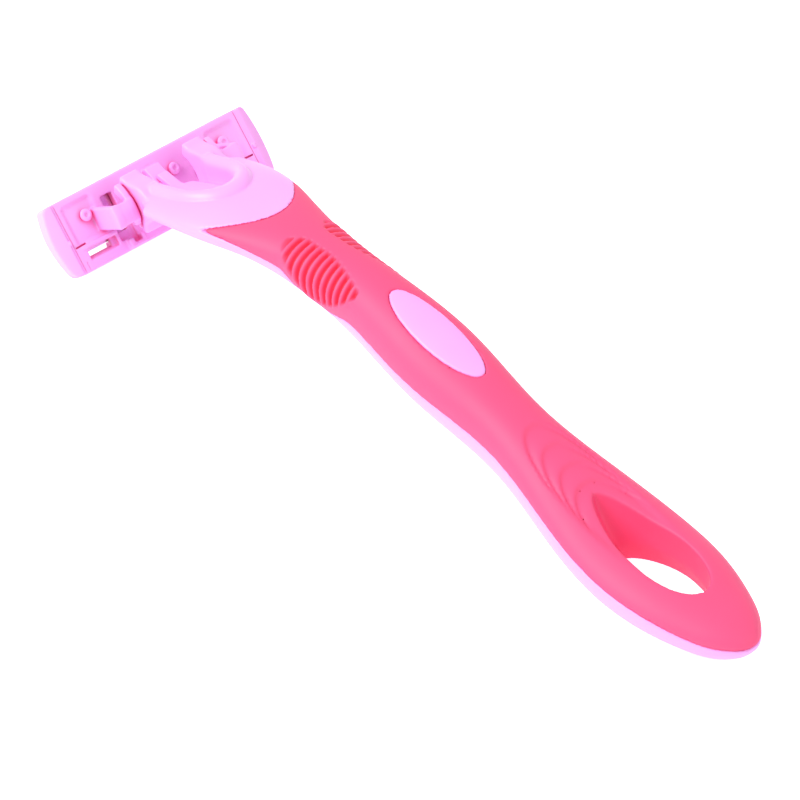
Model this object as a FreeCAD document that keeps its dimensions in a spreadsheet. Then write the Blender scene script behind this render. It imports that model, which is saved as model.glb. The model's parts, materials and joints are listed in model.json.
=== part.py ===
import FreeCAD, Part
import math
import os
import Sketcher
from FreeCAD import Placement, Rotation, Vector

# A wet-shaving razor, lying on its face: +Y runs from the tail of the handle to the head, +X to the right
# across the blades, +Z up out of the back of the handle. Millimetres. The table is the plane Z = 0.
# The cartridge has a frame of its own: X across, u from the guard edge to the cap edge, n out of its back.

doc = FreeCAD.newDocument("cartridge_razor")
sheet = doc.addObject("Spreadsheet::Sheet", "Sizes")

# Longer than any piece it is cut from, so that a cutter passes right through.
FAR = 40.0

# Stations along the handle: place along Y, height of the middle, half width and half height of the section.
STATIONS = [
    ("tail_tip", -72.3, 4.5, 1.5, 1.1),
    ("tail_round", -69.3, 4.5, 4.1, 2.6),
    ("tail_turn", -64.0, 4.65, 7.0, 3.85),
    ("loop_rear", -57.0, 5.05, 9.1, 4.55),
    ("loop_wide", -47.0, 5.75, 9.9, 4.9),
    ("loop_front", -34.0, 7.75, 8.3, 5.3),
    ("waist", -19.5, 10.95, 6.0, 5.6),
    ("belly", -2.0, 14.4, 7.0, 6.0),
    ("grip", 15.0, 16.85, 5.7, 5.5),
    ("neck", 26.0, 17.4, 6.1, 4.35),
    ("fan_root", 37.0, 17.1, 8.0, 3.4),
    ("fan_middle", 44.0, 16.2, 9.8, 3.0),
    ("fan_wide", 51.0, 14.8, 10.5, 2.7),
    ("fan_front", 60.5, 11.9, 10.4, 2.2),
]

SIZES = {
    # outside of the handle, and the grip sleeve over the core
    "section_fullness": 2.2,
    "sleeve_wall": 1.3,
    "parting_rise": 0.6,
    "spine_rear": -35.0,
    "spine_front": 38.0,
    "spine_width": 6.0,
    "fan_edge_radius": 12.0,
    "fan_edge_centre": 48.4,
    "window_length": 21.0,
    "window_width": 7.0,
    "window_middle": -0.7,
    # hanging loop at the tail
    "hang_front": -38.5,
    "hang_rear": -61.0,
    "hang_widest": -53.0,
    "hang_halfwidth": 5.0,
    # yoke: opening in the head and the two fork arms
    "opening_halfwidth": 4.4,
    "opening_rear": 50.2,
    "arm_outside": 8.4,
    "arm_inner_radius": 4.4,
    "arm_outer_radius": 6.9,
    "arm_root_radius": 9.4,
    "wing_clearance_radius": 10.3,
    "sweep_gap": 0.4,
    "arm_tip_angle": 89.0,
    "arm_sweep": 98.0,
    "groove_start_angle": 99.5,
    "groove_sweep": 87.5,
    "arm_root_angle": 112.0,
    "arm_root_sweep": 52.0,
    # pivot of the cartridge
    "pivot_y": 66.2,
    "pivot_z": 7.2,
    "cartridge_lean": 45.0,
    "running_gap": 0.06,
    "side_gap": 0.25,
    "overlap": 0.1,
    # cartridge
    "cartridge_length": 43.5,
    "end_bulge": 1.0,
    "cap_edge": 5.8,
    "guard_edge": 6.5,
    "end_cap_width": 3.05,
    "end_cap_front": 3.2,
    "base_plate": 1.4,
    "guard_height": 1.3,
    "guard_width": 1.4,
    "rinse_inner": 11.0,
    "rinse_outer": 16.8,
    "rinse_low": 5.0,
    "rinse_high": 3.1,
    "core_inner": 8.1,
    "core_outer": 11.8,
    "core_low": 4.6,
    "core_high": 3.4,
    # bearing brackets on the back of the base
    "rib_width": 1.2,
    "rib_inner_radius": 4.7,
    "rib_outer_radius": 6.6,
    "rib_start_angle": 38.0,
    "rib_sweep": 84.0,
    "bridge_start_angle": 80.0,
    "bridge_sweep": 42.0,
    "bridge_inner_radius": 5.3,
    "post_inner": 11.8,
    "post_width": 1.2,
    "post_depth": 4.4,
    "post_low": 2.4,
    "post_drop": 0.3,
    "rail_inner_radius": 5.3,
    "rail_outer_radius": 5.9,
    "rail_start_angle": 56.0,
    "rail_sweep": 50.0,
    "rail_depth": 0.9,
    # cam on the base, under the nose of the return tongue
    "cam_width": 3.0,
    "cam_face": 3.0,
    "cam_face_angle": 62.5,
    "cam_low": 0.9,
    "cam_high": 4.0,
    # return tongue
    "tongue_width": 5.2,
    "tongue_root_y": 49.4,
    "tongue_root_z": 16.0,
    "tongue_root_radius": 0.8,
    "tongue_nose_radius": 0.5,
    "tongue_nose_angle": 105.0,
    "tongue_nose_width": 2.0,
    "tongue_knee_y": 61.0,
    "tongue_knee_z": 10.4,
    "socket_mouth_height": 2.55,
    "socket_mouth_drop": 1.6,
    # blades, spacers, cap and pins
    "blade_length": 36.8,
    "blade_thickness": 0.1,
    "blade_back": 3.7,
    "blade_pitch": 1.45,
    "seat_edge": -3.5,
    "spacer_thickness": 0.7,
    "spacer_setback": 1.3,
    "pin_radius": 0.6,
    "pin_outer_x": 14.3,
    "pin_inner_x": 4.0,
    "pin_u": 1.9,
    "pin_hole_gap": 0.06,
    "stake_radius": 1.05,
    "stake_height": 0.8,
    "stake_gap": 0.02,
    "stake_dimple": 0.3,
    "dimple_depth": 0.32,
    "pin_seat": 0.3,
    "cap_thickness": 1.5,
    "lip_gap": 0.1,
    "cap_front": 1.0,
    "strip_width": 2.6,
    "strip_depth": 0.6,
    "strip_inset": 1.0,
    "strip_proud": 0.35,
    "strip_gap": 0.05,
    "fin_count": 5,
    "fin_width": 0.16,
    "fin_pitch": 0.25,
    "fin_height": 0.35,
    "fin_bed": 0.35,
    "bed_inset": 0.1,
}


def fill_sheet():
    """Writes every driving dimension to the sheet, one aliased cell each."""
    rows = list(SIZES.items())
    for name, place, middle, half_width, half_height in STATIONS:
        rows += [
            (name + "_place", place),
            (name + "_middle", middle),
            (name + "_halfwidth", half_width),
            (name + "_halfheight", half_height),
        ]
    for row, (alias, value) in enumerate(rows, start=1):
        sheet.set("A%d" % row, alias)
        sheet.set("B%d" % row, str(value))
        sheet.setAlias("B%d" % row, alias)
    doc.recompute()


def size(alias):
    """The value of a sheet cell, for a placement or an outline that is worked out here."""
    return float(sheet.get(alias))


def bind(thing, **expressions):
    """Binds properties of an object to sheet cells. A bare alias may be used in an expression."""
    for prop, text in expressions.items():
        thing.setExpression(prop.replace("__", "."), sheet_names(text))
    return thing


def sheet_names(text):
    """Puts the sheet's name before each alias in an expression."""
    words = []
    for word in text.split(" "):
        words.append("Sizes." + word if word.isidentifier() else word)
    return " ".join(words)


def boolean(kind, name, base, tool):
    """A Part::Cut or Part::Common of two objects."""
    made = doc.addObject("Part::" + kind, name)
    made.Base = base
    made.Tool = tool
    made.Refine = False
    return made


def fuse(name, shapes):
    made = doc.addObject("Part::MultiFuse", name)
    made.Shapes = shapes
    made.Refine = False
    return made


def box(name, corner, **lengths):
    """A Part::Box with its low corner at a point and bound edge lengths."""
    made = doc.addObject("Part::Box", name)
    made.Placement = Placement(Vector(*corner), Rotation())
    return bind(made, **lengths)


# Turns a cylinder's own axes (first, second, axis) to the frame's (Y, Z, X).
ALONG_X = Rotation(Vector(1, 1, 1), 120)


def sector(name, x, centre, start_angle, radius, sweep, width):
    """A solid sector of a disc about an axis along X. The angle runs from +Y towards +Z."""
    made = doc.addObject("Part::Cylinder", name)
    turned = Rotation(Vector(1, 0, 0), start_angle) * ALONG_X
    made.Placement = Placement(Vector(x, *centre), turned)
    return bind(made, Radius=radius, Angle=sweep, Height=width)


def ring_sector(name, x, centre, start, inner, outer, sweep, width):
    """A sector of a ring about an axis along X, from two bound radii."""
    angle = size(start)
    whole = sector(name + "_outer", x, centre, angle, outer, sweep, width)
    bore = sector(name + "_inner", x, centre, 0.0, inner, "360", width)
    return boolean("Cut", name, whole, bore)


def mirrored(name, source):
    """The same piece on the other side of the plane X = 0."""
    made = doc.addObject("Part::Mirroring", name)
    made.Source = source
    made.Normal = Vector(1, 0, 0)
    return made


# ---------------------------------------------------------------- sketches


def origin_plane(body, role):
    return next(f for f in body.Origin.OriginFeatures if f.Role == role)


def sketch_on(body, name, role="XY_Plane"):
    made = body.newObject("Sketcher::SketchObject", name)
    made.AttachmentSupport = [(origin_plane(body, role), "")]
    made.MapMode = "FlatFace"
    return made


def add_rectangle(sketch, tag, left, low, wide, high):
    """A rectangle in a sketch, held by four bound dimensions: its low left corner and its two sides."""
    corners = [Vector(0, 0), Vector(9, 0), Vector(9, 9), Vector(0, 9)]
    first = sketch.GeometryCount
    for i in range(4):
        sketch.addGeometry(Part.LineSegment(corners[i], corners[(i + 1) % 4]))
    for i in range(4):
        after = first + (i + 1) % 4
        sketch.addConstraint(Sketcher.Constraint("Coincident", first + i, 2, after, 1))
    for line, way in ((0, "Horizontal"), (2, "Horizontal"), (1, "Vertical"), (3, "Vertical")):
        sketch.addConstraint(Sketcher.Constraint(way, first + line))
    dimensions = [
        ("left", "DistanceX", (-1, 1, first, 1), left),
        ("low", "DistanceY", (-1, 1, first, 1), low),
        ("wide", "DistanceX", (first, 1, first, 2), wide),
        ("high", "DistanceY", (first + 1, 1, first + 1, 2), high),
    ]
    for label, kind, ends, expression in dimensions:
        index = sketch.addConstraint(Sketcher.Constraint(kind, *ends, 1.0))
        sketch.renameConstraint(index, tag + "_" + label)
        sketch.setExpression("Constraints." + tag + "_" + label, sheet_names(expression))


def add_circle(sketch, tag, across, along, radius):
    """A circle in a sketch with a bound centre and radius."""
    index = sketch.addGeometry(Part.Circle(Vector(5, 5), Vector(0, 0, 1), 1))
    dimensions = [
        ("across", Sketcher.Constraint("DistanceX", -1, 1, index, 3, 5.0), across),
        ("along", Sketcher.Constraint("DistanceY", -1, 1, index, 3, 5.0), along),
        ("radius", Sketcher.Constraint("Radius", index, 1.0), radius),
    ]
    for label, constraint, expression in dimensions:
        made = sketch.addConstraint(constraint)
        sketch.renameConstraint(made, tag + "_" + label)
        sketch.setExpression("Constraints." + tag + "_" + label, sheet_names(expression))


def pad(body, name, sketch, length, start="0", down=True):
    """Pads a sketch by a bound length, from a bound height; down is towards the face of the razor."""
    sketch.setExpression("AttachmentOffset.Base.z", sheet_names(start))
    made = body.newObject("PartDesign::Pad", name)
    made.Profile = sketch
    made.Reversed = down
    bind(made, Length=length)
    return made


def pocket(body, name, sketch):
    """Cuts a sketch through everything, both ways."""
    made = body.newObject("PartDesign::Pocket", name)
    made.Profile = sketch
    made.Type = "ThroughAll"
    made.Midplane = True
    return made


PIN_PLACES = [
    ("left_outer", "0 - pin_outer_x"),
    ("left_inner", "0 - pin_inner_x"),
    ("right_inner", "pin_inner_x"),
    ("right_outer", "pin_outer_x"),
]


def pin_circles(sketch, radius):
    for tag, across in PIN_PLACES:
        add_circle(sketch, tag, across, "pin_u", radius)


def cartridge_placement():
    """Carries a cartridge piece from its own frame (X, u, n) to the razor's."""
    lean = Rotation(Vector(1, 0, 0), size("cartridge_lean"))
    return Placement(Vector(0, size("pivot_y"), size("pivot_z")), lean)


# ---------------------------------------------------------------- handle


def section_points(station):
    """Points round the section at a station, starting underneath: an ellipse made slightly fuller."""
    name, place, middle, half_width, half_height = station
    power = 2.0 / size("section_fullness")
    steps = 16
    points = []
    for step in range(steps + 1):
        turn = 2 * math.pi * step / steps - math.pi / 2
        across = round(math.cos(turn), 9)
        up = round(math.sin(turn), 9)
        x = half_width * math.copysign(abs(across) ** power, across)
        z = middle + half_height * math.copysign(abs(up) ** power, up)
        points.append(Vector(x, place, z))
    return points


def outer_form():
    """The smooth outside of the handle: one surface through every section, closed at both ends."""
    surface = Part.BSplineSurface()
    surface.interpolate([section_points(station) for station in STATIONS])
    first, last, _, _ = surface.bounds()
    ends = [Part.Face(Part.Wire([surface.uIso(u).toShape()])) for u in (first, last)]
    shell = Part.Shell([surface.toShape()] + ends)
    shell.sewShape()
    made = doc.addObject("Part::Feature", "outer_form")
    made.Shape = Part.Solid(shell)
    made.Placement = Placement()
    return made


def core_spine():
    """The rib of the core that fills the sleeve from inside, drawn from the side and given a width."""
    rise = size("parting_rise")
    wall = size("sleeve_wall")
    under = [s for s in STATIONS if size("spine_rear") < s[1] < size("spine_front")]
    crest = [Vector(0, place, middle + half_height - wall) for _, place, middle, _, half_height in under]
    line = Part.BSplineCurve()
    line.interpolate(crest)
    low_rear = Vector(0, crest[0].y, under[0][2] - rise)
    low_front = Vector(0, crest[-1].y, under[-1][2] - rise)
    wire = Part.Wire(
        [
            line.toShape(),
            Part.makeLine(crest[-1], low_front),
            Part.makeLine(low_front, low_rear),
            Part.makeLine(low_rear, crest[0]),
        ]
    )
    half = size("spine_width") / 2
    made = doc.addObject("Part::Feature", "core_spine")
    made.Shape = Part.Face(wire).extrude(Vector(2 * half, 0, 0))
    made.Placement = Placement(Vector(-half, 0, 0), Rotation())
    return made


def space_above_parting():
    """Everything above the line, seen from the side, where sleeve and core meet."""
    rise = size("parting_rise")
    points = [Vector(0, place, middle + rise) for _, place, middle, _, _ in STATIONS]
    points[0].y -= 2.0
    line = Part.BSplineCurve()
    line.interpolate(points)
    high_front = Vector(0, points[-1].y, FAR)
    high_rear = Vector(0, points[0].y, FAR)
    wire = Part.Wire(
        [
            line.toShape(),
            Part.makeLine(points[-1], high_front),
            Part.makeLine(high_front, high_rear),
            Part.makeLine(high_rear, points[0]),
        ]
    )
    made = doc.addObject("Part::Feature", "above_parting")
    made.Shape = Part.Face(wire).extrude(Vector(FAR, 0, 0))
    made.Placement = Placement(Vector(-FAR / 2, 0, 0), Rotation())
    return made


def grown(outline, margin):
    """A closed flat curve outside another one, by a margin."""
    start, end = outline.FirstParameter, outline.LastParameter
    steps = 24
    points = []
    for step in range(steps):
        at = start + (end - start) * step / steps
        along = outline.tangent(at)[0]
        points.append(outline.value(at) + Vector(-along.y, along.x, 0) * margin)
    made = Part.BSplineCurve()
    made.interpolate(points, PeriodicFlag=True)
    return made


def hang_prism(name, grow):
    """The teardrop hole of the hanging loop, pointed towards the head, grown by a margin all round."""
    front = size("hang_front")
    rear = size("hang_rear")
    widest = size("hang_widest")
    half = size("hang_halfwidth")
    side = [
        Vector(half * 0.5, front + (widest - front) * 0.28, 0),
        Vector(half * 0.87, front + (widest - front) * 0.63, 0),
        Vector(half, widest, 0),
        Vector(half * 0.78, widest + (rear - widest) * 0.7, 0),
    ]
    other = [Vector(-p.x, p.y, 0) for p in reversed(side)]
    outline = Part.BSplineCurve()
    outline.interpolate([Vector(0, front, 0)] + side + [Vector(0, rear, 0)] + other, PeriodicFlag=True)
    if grow:
        outline = grown(outline, grow)
    made = doc.addObject("Part::Feature", name)
    made.Shape = Part.Face(Part.Wire([outline.toShape()])).extrude(Vector(0, 0, FAR))
    made.Placement = Placement(Vector(0, 0, -FAR / 2), Rotation())
    return made


def upright_cylinder(name, radius, y):
    made = doc.addObject("Part::Cylinder", name)
    made.Placement = Placement(Vector(0, y, 0), Rotation())
    return bind(made, Radius=radius, Height=str(FAR))


def window_prism():
    """The oval window in the back of the sleeve, where the core comes through."""
    outline = doc.addObject("Part::Ellipse", "window_outline")
    outline.Placement = Placement(Vector(), Rotation(Vector(0, 0, 1), 90))
    bind(
        outline,
        MajorRadius="window_length / 2",
        MinorRadius="window_width / 2",
        Placement__Base__y="window_middle",
        Placement__Base__z="belly_middle",
    )
    made = doc.addObject("Part::Extrusion", "window_prism")
    made.Base = outline
    made.DirMode = "Custom"
    made.Dir = Vector(0, 0, 1)
    made.Solid = True
    return bind(made, LengthFwd=str(FAR))


def fork_arms(pivot):
    """Two hooked arms about the cartridge pivot, thicker where they leave the head."""
    outside = size("arm_outside")
    hooks = ring_sector(
        "arm_hooks", -outside, pivot, "arm_tip_angle",
        "arm_inner_radius", "arm_outer_radius", "arm_sweep", "arm_outside * 2",
    )
    roots = ring_sector(
        "arm_roots", -outside, pivot, "arm_root_angle",
        "arm_inner_radius", "arm_root_radius", "arm_root_sweep", "arm_outside * 2",
    )
    return fuse("fork_arms", [hooks, roots])


def arm_grooves(pivot):
    """The arc grooves that the rails of the cartridge run in."""
    right = ring_sector(
        "groove_right", size("arm_outside") - size("rail_depth"), pivot, "groove_start_angle",
        "rail_inner_radius - running_gap", "rail_outer_radius + running_gap",
        "groove_sweep", "rail_depth + 1",
    )
    return fuse("arm_grooves", [right, mirrored("groove_left", right)])


def opening_prism():
    """The U-shaped opening between the fork arms, open towards the cartridge."""
    half = size("opening_halfwidth")
    centre = size("opening_rear") + half
    far = centre + FAR
    rear = Part.Arc(Vector(-half, centre, 0), Vector(0, centre - half, 0), Vector(half, centre, 0))
    wire = Part.Wire(
        [
            rear.toShape(),
            Part.makeLine(Vector(half, centre, 0), Vector(half, far, 0)),
            Part.makeLine(Vector(half, far, 0), Vector(-half, far, 0)),
            Part.makeLine(Vector(-half, far, 0), Vector(-half, centre, 0)),
        ]
    )
    made = doc.addObject("Part::Feature", "opening_prism")
    made.Shape = Part.Face(wire).extrude(Vector(0, 0, FAR))
    made.Placement = Placement(Vector(0, 0, -FAR / 4), Rotation())
    return made


def tongue_socket():
    """Room in the rear wall of the opening for the root of the return tongue and its swing."""
    half = size("tongue_width") / 2 + size("side_gap")
    root = (size("tongue_root_y"), size("tongue_root_z"))
    bore = sector("socket_bore", -half, root, 0.0, "tongue_root_radius + running_gap", "360",
                  "tongue_width + side_gap * 2")
    mouth = box("socket_mouth", (-half, root[0], root[1] - size("socket_mouth_drop")),
                Length="tongue_width + side_gap * 2", Width="tongue_width", Height="socket_mouth_height")
    return fuse("tongue_socket", [bore, mouth])


def sleeve_region():
    """The space the soft sleeve fills: above the parting line and round the hole, clear of core and head."""
    lining = hang_prism("hang_lining", size("sleeve_wall"))
    region = fuse("above_or_round_hole", [space_above_parting(), lining])
    region = boolean("Cut", "outside_spine", region, core_spine())
    region = boolean("Cut", "outside_window", region, window_prism())
    fan_edge = upright_cylinder("fan_edge", "fan_edge_radius", size("fan_edge_centre"))
    ahead = box("ahead_of_prongs", (-FAR / 2, size("fan_edge_centre"), 0),
                Length=str(FAR), Width=str(FAR), Height=str(FAR))
    return boolean("Cut", "sleeve_region", region, fuse("head_region", [fan_edge, ahead]))


def build_handle():
    pivot = (size("pivot_y"), size("pivot_z"))
    form = boolean("Cut", "form_with_hole", outer_form(), hang_prism("hang_hole", 0.0))
    region = sleeve_region()
    sleeve = boolean("Common", "grip_sleeve", form, region)

    core = boolean("Cut", "form_without_sleeve", form, region)
    swept = sector("cartridge_sweep", -FAR / 2, pivot, 0.0, "arm_outer_radius + sweep_gap", "360", str(FAR))
    wing = sector("wing_gap_right", size("arm_outside"), pivot, 0.0, "wing_clearance_radius", "360", str(FAR))
    head_gap = fuse("head_gap", [swept, wing, mirrored("wing_gap_left", wing)])
    core = boolean("Cut", "core_clear", core, head_gap)
    core = fuse("core_with_arms", [core, fork_arms(pivot)])
    yoke_gaps = fuse("yoke_gaps", [opening_prism(), arm_grooves(pivot), tongue_socket()])
    core = boolean("Cut", "handle_core", core, yoke_gaps)
    return [core, sleeve]


def tongue_nose():
    """Centre of the rounded nose that rests just off the cam, in the razor's frame (y, z)."""
    reach = size("cam_face") + size("running_gap") + size("tongue_nose_radius")
    angle = math.radians(size("tongue_nose_angle"))
    return Vector(0, size("pivot_y") + reach * math.cos(angle), size("pivot_z") + reach * math.sin(angle))


def tongue_bar(name, start, end, width):
    """A straight flat bar of the tongue between two points, seen from the side."""
    run = end - start
    turned = Rotation(Vector(1, 0, 0), math.degrees(math.atan2(run.z, run.y)))
    low = turned.multVec(Vector(0, 0, -size("tongue_nose_radius")))
    made = doc.addObject("Part::Box", name)
    made.Placement = Placement(start + low + Vector(-size(width) / 2, 0, 0), turned)
    return bind(made, Length=width, Width=str(run.Length), Height="tongue_nose_radius * 2")


def tongue_round(name, centre, radius, width):
    """A round bar across the tongue."""
    return sector(name, -size(width) / 2, (centre.y, centre.z), 0.0, radius, "360", width)


def build_return_tongue():
    """The spring leaf in the opening: a round root, a wide leaf down to a knee, and a narrow level nose."""
    root = Vector(0, size("tongue_root_y"), size("tongue_root_z"))
    knee = Vector(0, size("tongue_knee_y"), size("tongue_knee_z"))
    nose = tongue_nose()
    pieces = [
        tongue_round("tongue_knuckle", root, "tongue_root_radius", "tongue_width"),
        tongue_bar("tongue_leaf", root, knee, "tongue_width"),
        tongue_round("tongue_bend", knee, "tongue_nose_radius", "tongue_width"),
        tongue_bar("tongue_finger", knee, nose, "tongue_nose_width"),
        tongue_round("tongue_tip", nose, "tongue_nose_radius", "tongue_nose_width"),
    ]
    return fuse("return_tongue", pieces)


# ---------------------------------------------------------------- cartridge


def build_cartridge_base():
    """Back plate with guard bar, rinse windows, pin holes, brackets, bearing rails and cam."""
    body = doc.addObject("PartDesign::Body", "base_plate_body")
    inner = "cartridge_length / 2 - end_cap_width"
    plate = sketch_on(body, "plate_outline")
    add_rectangle(plate, "plate", "0 - ( " + inner + " )", "0 - guard_edge",
                  "2 * ( " + inner + " )", "guard_edge + cap_edge")
    pad(body, "plate_pad", plate, "base_plate")
    guard = sketch_on(body, "guard_outline")
    add_rectangle(guard, "guard", "0 - ( " + inner + " )", "0 - guard_edge",
                  "2 * ( " + inner + " )", "guard_width")
    pad(body, "guard_pad", guard, "base_plate + guard_height")
    doc.recompute()
    openings = sketch_on(body, "openings")
    add_rectangle(openings, "rinse_right", "rinse_inner", "0 - rinse_low", "rinse_outer - rinse_inner",
                  "rinse_low - rinse_high")
    add_rectangle(openings, "rinse_left", "0 - rinse_outer", "0 - rinse_low", "rinse_outer - rinse_inner",
                  "rinse_low - rinse_high")
    pocket(body, "rinse_windows", openings)
    cores = sketch_on(body, "bracket_cores")
    add_rectangle(cores, "core_right", "core_inner", "0 - core_low", "core_outer - core_inner",
                  "core_low + core_high")
    add_rectangle(cores, "core_left", "0 - core_outer", "0 - core_low", "core_outer - core_inner",
                  "core_low + core_high")
    pocket(body, "bracket_openings", cores)
    holes = sketch_on(body, "base_pin_holes")
    pin_circles(holes, "pin_radius + pin_hole_gap")
    pocket(body, "base_pin_pocket", holes)

    centre = (0.0, 0.0)
    rib_x = size("arm_outside") + size("side_gap")
    rib = ring_sector("rib_right", rib_x, centre, "rib_start_angle",
                      "rib_inner_radius", "rib_outer_radius", "rib_sweep", "rib_width")
    bridge = ring_sector("bridge_right", rib_x, centre, "bridge_start_angle",
                         "bridge_inner_radius", "rib_outer_radius", "bridge_sweep",
                         "post_inner - arm_outside + post_width / 2")
    rail = ring_sector("rail_right", rib_x - size("rail_depth") - size("overlap"), centre, "rail_start_angle",
                       "rail_inner_radius", "rail_outer_radius", "rail_sweep", "rail_depth + overlap * 2")
    post = box("bracket_post_right", (size("post_inner"), -size("post_low"), -size("base_plate")),
               Length="post_width", Width="post_depth", Height="base_plate + rib_outer_radius - post_drop")
    side = fuse("bracket_right", [rib, bridge, rail, post])

    cam = box("cam_block", (-size("cam_width") / 2, size("cam_low"), -size("base_plate") / 2),
              Length="cam_width", Width="cam_high - cam_low", Height="cam_face + base_plate")
    lean = Rotation(Vector(1, 0, 0), size("cam_face_angle") - 90.0)
    reach = size("cam_face")
    face_angle = math.radians(size("cam_face_angle"))
    shaver = doc.addObject("Part::Box", "cam_face_cutter")
    touch = Vector(0, reach * math.cos(face_angle), reach * math.sin(face_angle))
    shaver.Placement = Placement(touch + lean.multVec(Vector(-FAR / 2, -FAR / 2, 0)), lean)
    bind(shaver, Length=str(FAR), Width=str(FAR), Height=str(FAR))
    cam = boolean("Cut", "cam", cam, shaver)

    base = fuse("cartridge_base", [body, side, mirrored("bracket_left", side), cam])
    base.Placement = cartridge_placement()
    return base


def stack_depth():
    """From the back of the base plate to the front of the last blade."""
    return size("base_plate") + 3 * size("blade_thickness") + 2 * size("spacer_thickness")


def stack_height(blades, spacers):
    """Expression for the depth of the stack below the base plate's front."""
    return "0 - base_plate - blade_thickness * %d - spacer_thickness * %d" % (blades, spacers)


def build_blade(name, level):
    """One flat blade with its row of pin holes. Level 0 is the seat blade."""
    body = doc.addObject("PartDesign::Body", name)
    outline = sketch_on(body, name + "_outline")
    add_rectangle(outline, "blade", "0 - blade_length / 2", "seat_edge + blade_pitch * %d" % level,
                  "blade_length", "blade_back - seat_edge - blade_pitch * %d" % level)
    pin_circles(outline, "pin_radius + pin_hole_gap")
    pad(body, name + "_pad", outline, "blade_thickness", stack_height(level, level))
    body.Placement = cartridge_placement()
    return body


def build_spacer(name, level):
    """The strip that sets two blades apart, set back from their edges."""
    body = doc.addObject("PartDesign::Body", name)
    outline = sketch_on(body, name + "_outline")
    add_rectangle(outline, "spacer", "0 - blade_length / 2",
                  "seat_edge + blade_pitch * %d + spacer_setback" % level,
                  "blade_length", "blade_back - seat_edge - blade_pitch * %d - spacer_setback" % level)
    pin_circles(outline, "pin_radius + pin_hole_gap")
    pad(body, name + "_pad", outline, "spacer_thickness", stack_height(level + 1, level))
    body.Placement = cartridge_placement()
    return body


def build_blade_cap():
    """The cap over the blades, its seat for the strip, and its pins staked over on the back of the base."""
    body = doc.addObject("PartDesign::Body", "cap_plate")
    inner = "cartridge_length / 2 - end_cap_width"
    outline = sketch_on(body, "cap_outline")
    add_rectangle(outline, "cap", "0 - ( " + inner + " )", "cap_front", "2 * ( " + inner + " )",
                  "cap_edge - cap_front")
    top = stack_height(3, 2)
    pad(body, "cap_pad", outline, "cap_thickness", top)
    lip = sketch_on(body, "lip_outline")
    add_rectangle(lip, "lip", "0 - ( " + inner + " )", "blade_back + lip_gap",
                  "2 * ( " + inner + " )", "cap_edge - blade_back - lip_gap")
    pad(body, "lip_pad", lip, "blade_thickness * 3 + spacer_thickness * 2 + overlap", "0 - base_plate")
    doc.recompute()
    strip = sketch_on(body, "strip_seat")
    add_rectangle(strip, "seat", "0 - blade_length / 2", "cap_front + strip_inset",
                  "blade_length", "strip_width")
    strip.setExpression("AttachmentOffset.Base.z", sheet_names(top + " - cap_thickness"))
    seat = body.newObject("PartDesign::Pocket", "strip_pocket")
    seat.Profile = strip
    seat.Reversed = True
    bind(seat, Length="strip_depth")

    start = -stack_depth() - size("pin_seat")
    stakes = []
    for tag, across in PIN_PLACES:
        x = size("pin_outer_x" if "outer" in tag else "pin_inner_x")
        x = -x if "left" in tag else x
        pin = doc.addObject("Part::Cylinder", "pin_" + tag)
        pin.Placement = Placement(Vector(x, size("pin_u"), start), Rotation())
        bind(pin, Radius="pin_radius",
             Height="base_plate + blade_thickness * 3 + spacer_thickness * 2 + pin_seat + stake_height / 2")
        head = doc.addObject("Part::Cylinder", "stake_" + tag)
        head.Placement = Placement(Vector(x, size("pin_u"), size("stake_gap")), Rotation())
        bind(head, Radius="stake_radius", Height="stake_height - stake_gap")
        dimple = doc.addObject("Part::Cylinder", "dimple_" + tag)
        bottom = size("stake_height") - size("dimple_depth")
        dimple.Placement = Placement(Vector(x, size("pin_u"), bottom), Rotation())
        bind(dimple, Radius="stake_dimple", Height="1")
        stakes.append(boolean("Cut", "staked_head_" + tag, fuse("staked_pin_" + tag, [pin, head]), dimple))
    cap = fuse("blade_cap", [body] + stakes)
    cap.Placement = cartridge_placement()
    return cap


def build_lubricating_strip():
    body = doc.addObject("PartDesign::Body", "lubricating_strip")
    outline = sketch_on(body, "strip_outline")
    add_rectangle(outline, "strip", "0 - blade_length / 2 + strip_gap", "cap_front + strip_inset + strip_gap",
                  "blade_length - strip_gap * 2", "strip_width - strip_gap * 2")
    start = stack_height(3, 2) + " - cap_thickness + strip_depth"
    pad(body, "strip_pad", outline, "strip_depth + strip_proud", start)
    body.Placement = cartridge_placement()
    return body


def build_guard_strip():
    """Soft strip on the guard bar: a bed with a row of fins that run along the cartridge."""
    body = doc.addObject("PartDesign::Body", "guard_strip")
    bed = sketch_on(body, "bed_outline")
    low = "0 - guard_edge + bed_inset"
    add_rectangle(bed, "bed", "0 - blade_length / 2", low, "blade_length", "guard_width - bed_inset * 2")
    front = "0 - base_plate - guard_height"
    pad(body, "bed_pad", bed, "fin_bed", front)
    fin = sketch_on(body, "fin_outline")
    add_rectangle(fin, "fin", "0 - blade_length / 2", low, "blade_length", "fin_width")
    fin_pad = pad(body, "fin_pad", fin, "fin_height", front + " - fin_bed")
    doc.recompute()
    row = body.newObject("PartDesign::LinearPattern", "fin_row")
    row.Originals = [fin_pad]
    row.Direction = (fin, ["V_Axis"])
    bind(row, Occurrences="fin_count", Length="fin_pitch * ( fin_count - 1 )")
    body.Tip = row
    body.Placement = cartridge_placement()
    return body


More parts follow.
